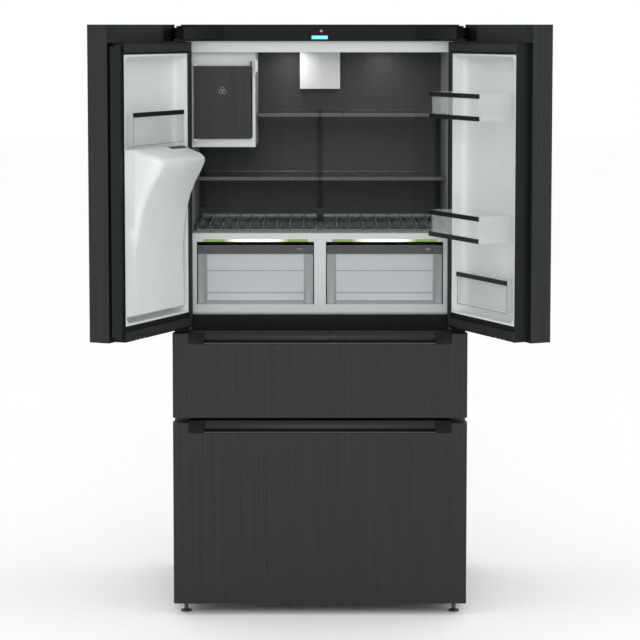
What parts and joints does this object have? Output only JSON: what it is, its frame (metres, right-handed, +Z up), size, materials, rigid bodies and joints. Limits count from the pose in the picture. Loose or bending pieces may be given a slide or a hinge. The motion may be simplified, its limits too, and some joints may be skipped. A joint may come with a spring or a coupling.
{
  "type": "refrigerator",
  "caption": "Tall free-standing refrigerator with two side by side upper doors on outer hinges over a middle drawer and a freezer drawer, with a lit interior.",
  "frame": {"origin": "on the floor, under the middle of the footprint with both doors standing open", "axes": "+Z up; +Y from the doors towards the wall; +X to the right of someone facing the doors"},
  "size_m": [1.3626, 1.0923, 1.83],
  "materials": {
    "graphite_steel": "dark brushed, satin",
    "case_paint": "light grey satin paint",
    "dark_frame": "dark blue-grey, fine texture",
    "white_liner": "white satin",
    "side_liner": "light grey satin",
    "anthracite": "dark brushed",
    "black_glass": "black, polished",
    "black_plastic": "black satin",
    "rubber_seal": "matte",
    "clear_plastic": "clear, polished",
    "shelf_glass": "clear tempered glass",
    "trim_alloy": "satin",
    "bracket_steel": "black paint",
    "zinc_steel": "zinc plated",
    "foam": "rigid foam",
    "light_diffuser": "white diffuser",
    "cold_alloy": "mill finish",
    "compressor_paint": "black enamel",
    "pan_plastic": "grey"
  },
  "bodies": {
    "cabinet": {"cabinet_shell": "case_paint", "back_panel": "zinc_steel", "base_tray": "zinc_steel", "insulation_foam": "foam", "fridge_liner": "side_liner", "drawer_liners": "white_liner", "front_crossbars": "black_plastic", "rear_duct_panel": "anthracite", "evaporator": "cold_alloy", "filter_housing": "white_liner", "shelf_rails": "bracket_steel", "shelf_brackets": "bracket_steel", "glass_shelves": "shelf_glass", "shelf_trims": "trim_alloy", "bottle_racks": "clear_plastic", "crisper_frame": "side_liner", "crisper_lights": "light_diffuser", "ice_maker_housing": "side_liner", "ice_bin": "clear_plastic", "control_panel": "black_glass", "door_hinges": "zinc_steel", "hinge_covers": "black_plastic", "drawer_runners": "zinc_steel", "levelling_feet": "zinc_steel", "compressor": "compressor_paint", "condenser": "cold_alloy", "drain_pan": "pan_plastic", "fan_shroud": "black_plastic", "service_inlets": "black_plastic"},
    "left_door": {"left_door_shell": "graphite_steel", "left_door_frame": "dark_frame", "left_door_liner": "white_liner", "left_door_gasket": "rubber_seal", "left_door_bin": "clear_plastic", "dispenser_shroud": "white_liner", "dispenser_alcove": "black_plastic"},
    "right_door": {"right_door_shell": "graphite_steel", "right_door_frame": "dark_frame", "right_door_liner": "white_liner", "right_door_gasket": "rubber_seal", "right_door_bins": "clear_plastic", "right_bin_rims": "black_glass"},
    "mullion": {"mullion_bar": "dark_frame"},
    "paddle": {"dispenser_paddle": "black_plastic"},
    "middle_drawer": {"middle_drawer_front": "graphite_steel", "middle_drawer_handle": "graphite_steel", "middle_drawer_gasket": "rubber_seal", "middle_drawer_box": "white_liner"},
    "freezer_drawer": {"freezer_drawer_front": "graphite_steel", "freezer_drawer_handle": "graphite_steel", "freezer_drawer_gasket": "rubber_seal", "freezer_drawer_box": "white_liner"},
    "left_crisper": {"left_crisper_box": "clear_plastic", "left_crisper_trim": "black_glass"},
    "right_crisper": {"right_crisper_box": "clear_plastic", "right_crisper_trim": "black_glass"},
    "ice_door": {"ice_maker_door": "graphite_steel"},
    "condenser_rotor": {"condenser_fan": "black_plastic"},
    "evaporator_rotor": {"evaporator_fan": "black_plastic"},
    "rollers": {"rear_rollers": "black_plastic"}
  },
  "joints": [
    {"name": "left_door_hinge", "type": "hinge", "parent": "cabinet", "child": "left_door", "pos_m": [-0.4358, -0.1457, 1.3], "axis": [0, 0, -1], "range_deg": [-114.5, 0]},
    {"name": "right_door_hinge", "type": "hinge", "parent": "cabinet", "child": "right_door", "pos_m": [0.4358, -0.1457, 1.3], "axis": [0, 0, 1], "range_deg": [-114.5, 0]},
    {"name": "mullion_flip", "type": "hinge", "parent": "left_door", "child": "mullion", "pos_m": [-0.58662, -0.5449, 1.338], "axis": [0, 0, -1], "range_deg": [-90, 0]},
    {"name": "dispenser_paddle_swing", "type": "hinge", "parent": "left_door", "child": "paddle", "pos_m": [-0.54559, -0.30535, 1.437], "axis": [-0.4147, -0.91, 0], "range_deg": [0, 5], "stiffness_Nm_per_rad": 0.6, "springref_deg": -5.73},
    {"name": "middle_drawer_slide", "type": "slide", "parent": "cabinet", "child": "middle_drawer", "axis": [0, -1, 0], "range_m": [0, 0.45]},
    {"name": "freezer_drawer_slide", "type": "slide", "parent": "cabinet", "child": "freezer_drawer", "axis": [0, -1, 0], "range_m": [0, 0.36]},
    {"name": "left_crisper_slide", "type": "slide", "parent": "cabinet", "child": "left_crisper", "axis": [0, -1, 0], "range_m": [0, 0.3]},
    {"name": "right_crisper_slide", "type": "slide", "parent": "cabinet", "child": "right_crisper", "axis": [0, -1, 0], "range_m": [0, 0.3]},
    {"name": "ice_door_hinge", "type": "hinge", "parent": "cabinet", "child": "ice_door", "pos_m": [-0.3895, -0.0764, 1.589], "axis": [0, 0, -1], "range_deg": [0, 85]},
    {"name": "condenser_fan_spin", "type": "hinge", "parent": "cabinet", "child": "condenser_rotor", "pos_m": [0.081, 0.4106, 0.1188], "axis": [1, 0, 0], "continuous": true},
    {"name": "evaporator_fan_spin", "type": "hinge", "parent": "cabinet", "child": "evaporator_rotor", "pos_m": [0, 0.4266, 1.29], "axis": [0, 1, 0], "continuous": true},
    {"name": "rear_roller_spin", "type": "hinge", "parent": "cabinet", "child": "rollers", "pos_m": [0, 0.4706, 0.022], "axis": [1, 0, 0], "continuous": true}
  ]
}
